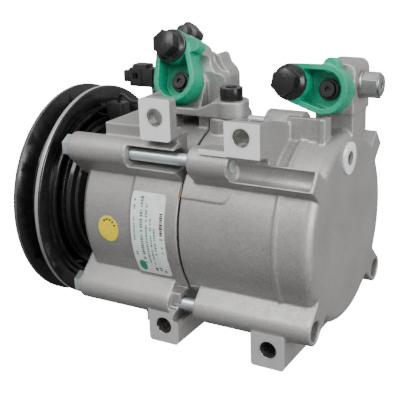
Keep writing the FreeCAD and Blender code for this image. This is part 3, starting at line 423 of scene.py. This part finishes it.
def ink(name, color):
    """Printed ink, broken up a little."""
    s = Shader(name, color, 0.0, 0.45)
    broken = s.noise(1500.0, 3.0)
    pale = tuple(min(1.0, c * 1.5 + 0.12) for c in color)
    s.color(s.mix(s.ramp(broken, 0.5, 0.72, 0.0, 0.55), color, pale))
    s.roughness(s.ramp(broken, 0.3, 0.7, 0.38, 0.55))
    s.bump(broken, 0.01 * MM, 0.4)
    return s.material


def yellow_film():
    """Yellow inspection sticker, a little scuffed."""
    s = Shader("yellow_film", (0.75, 0.56, 0.01), 0.0, 0.5)
    scuff = s.noise(300.0, 4.0)
    s.color(s.mix(s.ramp(scuff, 0.45, 0.75), (0.78, 0.60, 0.012), (0.66, 0.46, 0.008)))
    s.roughness(s.ramp(scuff, 0.3, 0.7, 0.42, 0.6))
    s.bump(scuff, 0.02 * MM, 0.3)
    return s.material


def seal_trace():
    """Orange brown anaerobic sealant squeezed from the joint."""
    s = Shader("seal_trace", (0.30, 0.13, 0.05), 0.0, 0.4)
    blot = s.noise(400.0, 4.0)
    s.color(s.mix(blot, (0.14, 0.06, 0.03), (0.42, 0.20, 0.09)))
    s.roughness(s.ramp(blot, 0.3, 0.7, 0.3, 0.55))
    s.bump(blot, 0.2 * MM, 0.6)
    return s.material


def make_materials():
    """One material for each of the record's slots, and the extra finishes."""
    return {
        "cast_aluminium": cast_aluminium(),
        "milled_upper": milled_aluminium("milled_upper", 1.0),
        # the lower ears' faces: the milled finish darkened to 0.55 as painted shade, since less
        # light falls on them than on the upper ears
        "milled_lower_painted_shade": milled_aluminium("milled_lower_painted_shade", 0.55),
        "bored_aluminium": bored_aluminium(),
        "plug_aluminium": plug_aluminium(),
        "valve_steel": steel("valve_steel", (0.38, 0.385, 0.38), 0.26),
        "zinc_steel": zinc_steel(),
        "black_paint": black_paint(),
        "black_oxide_steel": black_oxide_steel(),
        "green_plastic": green_plastic(),
        "black_rubber": plastic("black_rubber", (0.014, 0.013, 0.013), (0.008, 0.008, 0.008),
                                0.5, 1800.0, 0.03),
        "black_plastic": plastic("black_plastic", (0.016, 0.015, 0.015), (0.009, 0.009, 0.009),
                                 0.42, 1500.0, 0.03),
        "bearing_steel": steel("bearing_steel", (0.62, 0.63, 0.64), 0.16, (4.0, 1.0, 1.0)),
        "machined_steel": steel("machined_steel", (0.46, 0.46, 0.47), 0.30),
        "machined_aluminium": steel("machined_aluminium", (0.74, 0.75, 0.76), 0.30,
                                    (1.0, 3.0, 3.0)),
        "cast_iron": steel("cast_iron", (0.26, 0.26, 0.27), 0.42),
        "spring_steel": steel("spring_steel", (0.34, 0.37, 0.42), 0.28, (1.0, 1.0, 6.0)),
        "winding": plastic("winding", (0.20, 0.06, 0.02), (0.12, 0.035, 0.012), 0.4, 900.0, 0.08),
        "gasket": plastic("gasket", (0.05, 0.06, 0.07), (0.03, 0.035, 0.04), 0.6, 1500.0, 0.03),
        "label_paper": label_paper(),
        "green_ink": ink("green_ink", (0.02, 0.20, 0.12)),
        "black_ink": ink("black_ink", (0.02, 0.02, 0.02)),
        "yellow_film": yellow_film(),
        "seal_trace": seal_trace(),
    }


# ---------------------------------------------------------------- castings and mouldings

def copy_of(node, name):
    """A piece that stands for a CAD node, with its doubled vertices joined."""
    piece = link(bpy.data.objects.new(name, NODES[node].data.copy()))
    shape = bmesh.new()
    shape.from_mesh(piece.data)
    bmesh.ops.remove_doubles(shape, verts=shape.verts, dist=WELD * MM)
    shape.to_mesh(piece.data)
    shape.free()
    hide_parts(node)
    return piece


def inside(point, region):
    """Whether a point lies in a box of two corners in millimetres."""
    low, high = region
    return all(low[i] * MM <= point[i] <= high[i] * MM for i in range(3))


def machined_face(node, name, region):
    """Crisp slab over the milled faces of an ear, from the CAD's own outline with its hole."""
    shape = bmesh.new()
    shape.from_mesh(NODES[node].data)
    level = EAR_FACE_Y * MM
    others = []
    for face in shape.faces:
        centre = face.calc_center_median()
        flat = face.normal.y < -0.99 and abs(centre.y - level) < 0.05 * MM
        if not (flat and inside(centre, region)):
            others.append(face)
    bmesh.ops.delete(shape, geom=others, context="FACES")
    bmesh.ops.remove_doubles(shape, verts=shape.verts, dist=WELD * MM)
    for vertex in shape.verts:
        vertex.co.y -= MILLED_PROUD * MM
    mesh = bpy.data.meshes.new(name)
    shape.to_mesh(mesh)
    shape.free()
    piece = link(bpy.data.objects.new(name, mesh))
    solid = piece.modifiers.new("solid", "SOLIDIFY")
    solid.thickness = MILLED_DEPTH * MM
    solid.offset = -1.0
    apply_modifiers(piece)
    return piece


def softened(node, name, voxel_mm, rounds, keep):
    """A casting or moulding with its edges rounded, thinned to a share of its triangles."""
    piece = copy_of(node, name)
    remesh = piece.modifiers.new("remesh", "REMESH")
    remesh.mode = "VOXEL"
    remesh.voxel_size = voxel_mm * MM
    smooth = piece.modifiers.new("smooth", "SMOOTH")
    smooth.factor = 0.5
    smooth.iterations = rounds
    if keep < 1.0:
        thin = piece.modifiers.new("thin", "DECIMATE")
        thin.ratio = keep
    apply_modifiers(piece)
    piece.data.shade_smooth()
    return piece


def open_joint(piece, joint_x):
    """Draw the casting's skin inwards beside the joint of the shells, as a narrow groove."""
    half, depth = 0.95, 1.3
    for vertex in piece.data.vertices:
        distance = abs(vertex.co.x / MM - joint_x)
        radius = math.hypot(vertex.co.y, vertex.co.z) / MM
        if distance < half and SHELL_R - 2.0 < radius < SHELL_R + 1.2:
            scale = 1.0 - depth * (1.0 - (distance / half) ** 2) / radius
            vertex.co.y *= scale
            vertex.co.z *= scale


def clear_bores(piece):
    """Widen the softened ear bores, so that their linings show."""
    wall = EAR_HOLE_R + 0.3
    for vertex in piece.data.vertices:
        x, y, z = (c / MM for c in vertex.co)
        for bore_x, bore_z, y_end in EAR_BORES.values():
            radius = math.hypot(x - bore_x, z - bore_z)
            if y < y_end + 0.4 and 3.0 < radius < wall:
                scale = wall / radius
                vertex.co.x = (bore_x + (x - bore_x) * scale) * MM
                vertex.co.z = (bore_z + (z - bore_z) * scale) * MM


def crisp(node, name, width_mm):
    """A turned or pressed piece with small bevels on its edges."""
    piece = copy_of(node, name)
    shape = bmesh.new()
    shape.from_mesh(piece.data)
    bmesh.ops.dissolve_limit(shape, angle_limit=math.radians(0.6), verts=shape.verts,
                             edges=shape.edges, delimit={"NORMAL"})
    shape.to_mesh(piece.data)
    shape.free()
    bevel = piece.modifiers.new("bevel", "BEVEL")
    bevel.width = width_mm * MM
    bevel.segments = 2
    bevel.limit_method = "ANGLE"
    bevel.angle_limit = math.radians(32.0)
    apply_modifiers(piece)
    smooth_by_angle(piece, SHARP_DEG)
    return piece


# ---------------------------------------------------------------- added pieces

def on_shell(radius, x, height):
    """Point on the near side of a shell, at a height above the shaft."""
    return (x, -math.sqrt(radius * radius - height * height), height)


def shell_patch(name, radius, outline, thickness):
    """Thin patch wrapped on the near side of a shell, from an outline of (x, z)."""
    flat = bmesh.new()
    ring = [flat.verts.new((x, 0.0, z)) for x, z in outline]
    flat.faces.new(ring)
    low = min(z for _, z in outline)
    high = max(z for _, z in outline)
    steps = max(2, int((high - low) / 1.5))    # a band about every 1.5 mm follows the curve
    for i in range(1, steps):
        level = low + (high - low) * i / steps
        bmesh.ops.bisect_plane(flat, geom=flat.verts[:] + flat.edges[:] + flat.faces[:],
                               plane_co=(0, 0, level), plane_no=(0, 0, 1))
    for vertex in flat.verts:
        vertex.co = Vector(on_shell(radius, vertex.co.x, vertex.co.z)) * MM
    bmesh.ops.recalc_face_normals(flat, faces=flat.faces[:])
    mesh = bpy.data.meshes.new(name)
    flat.to_mesh(mesh)
    flat.free()
    obj = link(bpy.data.objects.new(name, mesh))
    solid = obj.modifiers.new("solid", "SOLIDIFY")
    solid.thickness = thickness * MM
    solid.offset = 0.0
    apply_modifiers(obj)
    smooth_by_angle(obj, SHARP_DEG)
    return obj


def rounded_rectangle(x0, x1, z0, z1, radius, steps=6):
    """Outline of (x, z) points of a rectangle with round corners."""
    points = []
    corners = ((x1 - radius, z1 - radius, 0), (x0 + radius, z1 - radius, 90),
               (x0 + radius, z0 + radius, 180), (x1 - radius, z0 + radius, 270))
    for cx, cz, start in corners:
        for i in range(steps + 1):
            angle = math.radians(start + 90.0 * i / steps)
            points.append((cx + radius * math.cos(angle), cz + radius * math.sin(angle)))
    return points


def oval(cx, cz, half_x, half_z, steps=32):
    """Outline of (x, z) points of an ellipse."""
    return [(cx + half_x * math.cos(2 * math.pi * i / steps),
             cz + half_z * math.sin(2 * math.pi * i / steps)) for i in range(steps)]


def print_rows(rng, columns, low, high, ink_width):
    """Small dashes as print that runs along the label: each column is its x, top and bottom."""
    dashes = []
    for x, start, end in columns:
        z = start
        while z > end:
            length = rng.uniform(0.5, 1.3)
            wide = ink_width * rng.uniform(0.75, 1.1)
            if low < z - length and rng.random() > 0.16:
                dashes.append((x - wide / 2, x + wide / 2, max(z - length, low), min(z, high)))
            z -= length + rng.uniform(0.35, 0.6)
    return dashes


def add_label(materials):
    """White label near the joint, with rows of plain dashes and a plain oval badge."""
    x0, x1, z0, z1 = 67.0, 89.6, -28.0, 22.8
    patch = shell_patch("label", SHELL_R + 0.1, rounded_rectangle(x0, x1, z0, z1, 2.4), 0.14)
    finish_piece(patch, "housing", [materials["label_paper"]])
    rng = random.Random(5)
    low, high = z0 + 2, z1 - 2
    thin = [(69.4, 18.6, 13.0), (69.4, 8.7, -7.5), (69.6, -11.7, -14.5), (77.6, 20.0, -19.0),
            (80.4, 8.5, -21.0), (82.9, 3.0, -13.0), (87.4, -7.5, -12.5)]
    rows = print_rows(rng, thin, low, high, 1.1)
    rows += print_rows(rng, [(74.2, 20.5, -22.0)], low, high, 1.9)
    add_dashes("label_print", rows, SHELL_R + 0.2, materials["green_ink"])
    badge = shell_patch("label_badge", SHELL_R + 0.2, oval(71.4, -22.6, 2.5, 3.8), 0.06)
    finish_piece(badge, "housing", [materials["green_ink"]])
    number = print_rows(rng, [(87.4, 12.6, -3.0)], low, high, 2.1)
    blocks = [(80.2, -22.0, -25.5), (83.0, -22.5, -26.0), (86.0, -22.5, -26.0)]
    number += print_rows(rng, blocks, z0 + 1, high, 1.8)
    add_dashes("label_number", number, SHELL_R + 0.2, materials["black_ink"])


def add_dashes(name, dashes, radius, material):
    """Many small printed marks on the near side of a shell, as one piece."""
    vertices, faces = [], []
    for x0, x1, z0, z1 in dashes:
        base = len(vertices)
        for lift in (0.0, PRINT_THICKNESS):
            for x, z in ((x0, z0), (x1, z0), (x1, z1), (x0, z1)):
                vertices.append(on_shell(radius + lift, x, z))
        faces += [(base, base + 1, base + 2, base + 3), (base + 4, base + 5, base + 6, base + 7)]
        for i in range(4):
            j = (i + 1) % 4
            faces.append((base + i, base + j, base + 4 + j, base + 4 + i))
    obj = mesh_object(name, vertices, faces)
    finish_piece(obj, "housing", [material])


def add_sticker(materials):
    """Yellow inspection sticker with a curved row of marks."""
    radius = FRONT_SHELL_R + 0.1
    middle_x, middle_z = 50.3, -2.0
    patch = shell_patch("sticker", radius, oval(middle_x, middle_z, 7.0, 8.0), 0.12)
    finish_piece(patch, "housing", [materials["yellow_film"]])
    marks = []
    for i in range(5):
        angle = math.radians(122 - 24 * i)
        cx = middle_x + 4.9 * math.cos(angle)
        cz = middle_z + 5.7 * math.sin(angle)
        marks.append((cx - 0.65, cx + 0.35, cz - 0.6, cz + 0.6))
        marks.append((cx + 0.35, cx + 0.75, cz - 0.2, cz + 0.75))
    add_dashes("sticker_marks", marks, radius + 0.08, materials["black_ink"])


def tube(name, path, radii, steps):
    """Round bead along a list of points in millimetres, with a radius at each point."""
    vertices, faces = [], []
    for i, point in enumerate(path):
        ahead = Vector(path[min(i + 1, len(path) - 1)]) - Vector(path[max(i - 1, 0)])
        ahead.normalize()
        side = ahead.cross(Vector((1, 0.3, 0.2))).normalized()
        up = ahead.cross(side)
        for k in range(steps):
            angle = 2 * math.pi * k / steps
            spoke = side * math.cos(angle) + up * math.sin(angle)
            vertices.append(Vector(point) + spoke * radii[i])
    for i in range(len(path) - 1):
        for k in range(steps):
            n = (k + 1) % steps
            faces.append((i * steps + k, i * steps + n, (i + 1) * steps + n, (i + 1) * steps + k))
    last = (len(path) - 1) * steps
    faces.append(tuple(range(steps))[::-1])
    faces.append(tuple(range(last, last + steps)))
    obj = mesh_object(name, vertices, faces)
    obj.data.shade_smooth()
    return obj


def add_joint_shade_ring(materials):
    """Black ring at the bottom of the groove between the shells: a dark piece that stands in for
    the shade in the joint, as painted shade.
    """
    count = 180
    reach = SHELL_R - 1.0
    path = []
    for i in range(count + 1):
        angle = 2 * math.pi * i / count
        path.append((JOINT_MIDDLE_X, reach * math.cos(angle), reach * math.sin(angle)))
    ring = tube("joint_shade_ring", path, [0.42] * len(path), 8)
    finish_piece(ring, "housing", [materials["black_rubber"]])


def add_seal_bead(materials):
    """Sealant that stands a little out of the joint, under the near upper bolt."""
    rng = random.Random(9)
    count = 30
    reach = SHELL_R + 0.05
    path, radii = [], []
    for i in range(count):
        angle = math.radians(148.5 + 10.0 * i / (count - 1))
        path.append((JOINT_MIDDLE_X, reach * math.cos(angle), reach * math.sin(angle)))
        taper = math.sin(math.pi * (i + 0.6) / (count + 0.2))
        radii.append((0.30 + 0.25 * rng.random()) * taper + 0.05)
    bead = tube("seal_bead", path, radii, 10)
    finish_piece(bead, "housing", [materials["seal_trace"]])


def lining(name, centre_x, centre_z, y0, y1, radius, steps=48):
    """Thin turned lining of a bore along Y, with a chamfered mouth."""
    inner, outer = radius - 0.02, radius + LINING_WALL
    profile = [(y0 - 0.03, radius + 0.55), (y0 - 0.03, radius + 0.35), (y0 + 0.45, inner),
               (y1, inner), (y1, outer), (y0 + 0.6, outer)]
    vertices, faces = [], []
    count = len(profile)
    for i in range(steps):
        angle = 2 * math.pi * i / steps
        for y, r in profile:
            vertices.append((centre_x + r * math.cos(angle), y, centre_z + r * math.sin(angle)))
    for i in range(steps):
        j = (i + 1) % steps
        for k in range(count):
            n = (k + 1) % count
            faces.append((i * count + k, i * count + n, j * count + n, j * count + k))
    obj = mesh_object(name, vertices, faces)
    smooth_by_angle(obj, 30.0)
    return obj


def add_linings(materials):
    """Machined bores of the four ears."""
    for name, (x, z, y_end) in EAR_BORES.items():
        piece = lining("bore_" + name, x, z, EAR_FACE_Y, y_end, EAR_HOLE_R)
        finish_piece(piece, "housing", [materials["bored_aluminium"]])


# ---------------------------------------------------------------- studio

def add_camera():
    """Camera behind the rear left corner, a little above the shaft."""
    camera = bpy.data.cameras.new("camera")
    camera.lens = 77.4
    camera.sensor_width = 36.0
    camera.clip_start = 0.01
    obj = link(bpy.data.objects.new("camera", camera))
    place = Vector((0.33713, -0.43253, 0.17440))
    target = Vector((0.08501, -0.00679, 0.00549))
    roll = math.radians(-2.17)
    turn = (target - place).to_track_quat("-Z", "Y").to_matrix() @ Matrix.Rotation(roll, 3, "Z")
    obj.matrix_world = Matrix.Translation(place) @ turn.to_4x4()
    bpy.context.scene.camera = obj


def add_area(name, place, target, size, power):
    """Soft white square lamp."""
    light = bpy.data.lights.new(name, "AREA")
    light.size = size
    light.energy = power
    obj = link(bpy.data.objects.new(name, light))
    obj.location = place
    obj.rotation_euler = (Vector(target) - Vector(place)).to_track_quat("-Z", "Y").to_euler()


def add_sky():
    """White surroundings, bright overhead and dim below."""
    world = bpy.data.worlds.new("world")
    world.use_nodes = True
    nodes, links = world.node_tree.nodes, world.node_tree.links
    direction = nodes.new("ShaderNodeTexCoord").outputs["Generated"]
    split = nodes.new("ShaderNodeSeparateXYZ")
    links.new(direction, split.inputs["Vector"])
    level = nodes.new("ShaderNodeMapRange")
    links.new(split.outputs["Z"], level.inputs["Value"])
    level.inputs["From Min"].default_value = -0.7
    level.inputs["From Max"].default_value = 0.2
    level.inputs["To Min"].default_value = 0.18
    level.inputs["To Max"].default_value = 0.80
    links.new(level.outputs["Result"], nodes["Background"].inputs["Strength"])
    nodes["Background"].inputs["Color"].default_value = (1.0, 1.0, 1.0, 1.0)
    bpy.context.scene.world = world


def add_studio():
    """Bright floor, soft sky and soft lamps, the key above the side of the ears."""
    low = CAD_BOX[0][2]
    reach = 3.0
    floor = link(bpy.data.objects.new("floor", bpy.data.meshes.new("floor")))
    floor.data.from_pydata([(-reach, -reach, low), (reach, -reach, low), (reach, reach, low),
                            (-reach, reach, low)], [], [(0, 1, 2, 3)])
    s = Shader("floor_paint", (0.9, 0.9, 0.9), 0.0, 0.7)
    s.bsdf.inputs["Emission Color"].default_value = (1.0, 1.0, 1.0, 1.0)
    s.bsdf.inputs["Emission Strength"].default_value = 16.0    # looks white, lights nothing
    s.bump(s.noise(300.0), 0.05 * MM, 0.1)
    floor.data.materials.append(s.material)
    floor.visible_diffuse = False
    floor.visible_glossy = False
    add_sky()
    add_area("key", (0.0, -0.43, 0.60), (0.10, 0, 0.01), 0.4, 4.2)
    add_area("top", (0.1, 0.0, 1.1), (0.08, 0, 0), 0.9, 2.0)
    add_area("rear", (1.0, -0.3, 0.3), (0.15, 0, 0), 0.5, 10.0)


# ---------------------------------------------------------------- the object

def add_castings(materials, slots):
    """Castings and mouldings with soft edges, and the crisp milled faces of the ears."""
    # voxel size, rounds of smoothing, share of the triangles kept
    plan = {
        "front_housing": (0.6, 6, 0.5),
        "rear_housing": (0.6, 6, 0.5),
        "service_manifold": (0.45, 6, 0.7),
        "front_port_cap": (0.34, 5, 0.8),
        "rear_port_cap": (0.34, 5, 0.8),
        "port_plugs": (0.25, 3, 1.0),
    }
    for node, (voxel, rounds, keep) in plan.items():
        piece = softened(node, node + "_soft", voxel, rounds, keep)
        if node in JOINT_X:
            open_joint(piece, JOINT_X[node])
            clear_bores(piece)
        finish_piece(piece, body_of_node(node), [materials[slots[node]]])
    # corners of a box round each ear's face
    ears = {
        "upper_front": ("front_housing", (76, -60, 53.5), (98, -50, 80)),
        "lower_front": ("front_housing", (74, -60, -70), (97, -50, -45.2)),
        "upper_rear": ("rear_housing", (112.5, -60, 50.2), (151.5, -50, 72)),
        "lower_rear": ("rear_housing", (141, -60, -70), (165, -50, -46.2)),
    }
    for name, (node, low, high) in ears.items():
        piece = machined_face(node, "milled_" + name, (low, high))
        # the lower ears take the darkened copy of the milled finish: painted shade
        finish = "milled_upper" if name.startswith("upper") else "milled_lower_painted_shade"
        finish_piece(piece, "housing", [materials[finish]])


def add_crisp(materials, slots):
    """Turned, pressed and moulded pieces with small bevels, each with its bevel's width."""
    plan = {"cap_bolts": 0.2, "pulley": 0.35, "armature_plate": 0.25, "clutch_hub": 0.3,
            "field_coil": 0.25, "manifold_screw": 0.3, "relief_valve": 0.35,
            "through_bolts": 0.25, "connector": 0.25, "coil_terminal": 0.3,
            "oil_plug": 0.2, "shaft_nut": 0.25, "valve_cap": 0.4, "connector_bracket": 0.2}
    finishes = {"oil_plug": "plug_aluminium", "relief_valve": "valve_steel"}
    for node, width in plan.items():
        piece = crisp(node, node + "_edge", width)
        finish = finishes.get(node, slots[node])
        finish_piece(piece, body_of_node(node), [materials[finish]])


def build():
    """Materials on every node, finer pieces in place of the visible ones, and the added pieces."""
    materials = make_materials()
    slots = {entry["node"]: entry["material_slot"] for entry in frame["record"]["subparts"]}
    for node, obj in NODES.items():
        obj.data.materials.clear()
        obj.data.materials.append(materials[slots[node]])
    add_castings(materials, slots)
    add_crisp(materials, slots)
    add_label(materials)
    add_sticker(materials)
    add_joint_shade_ring(materials)
    add_seal_bead(materials)
    add_linings(materials)


add_camera()
add_studio()
build()
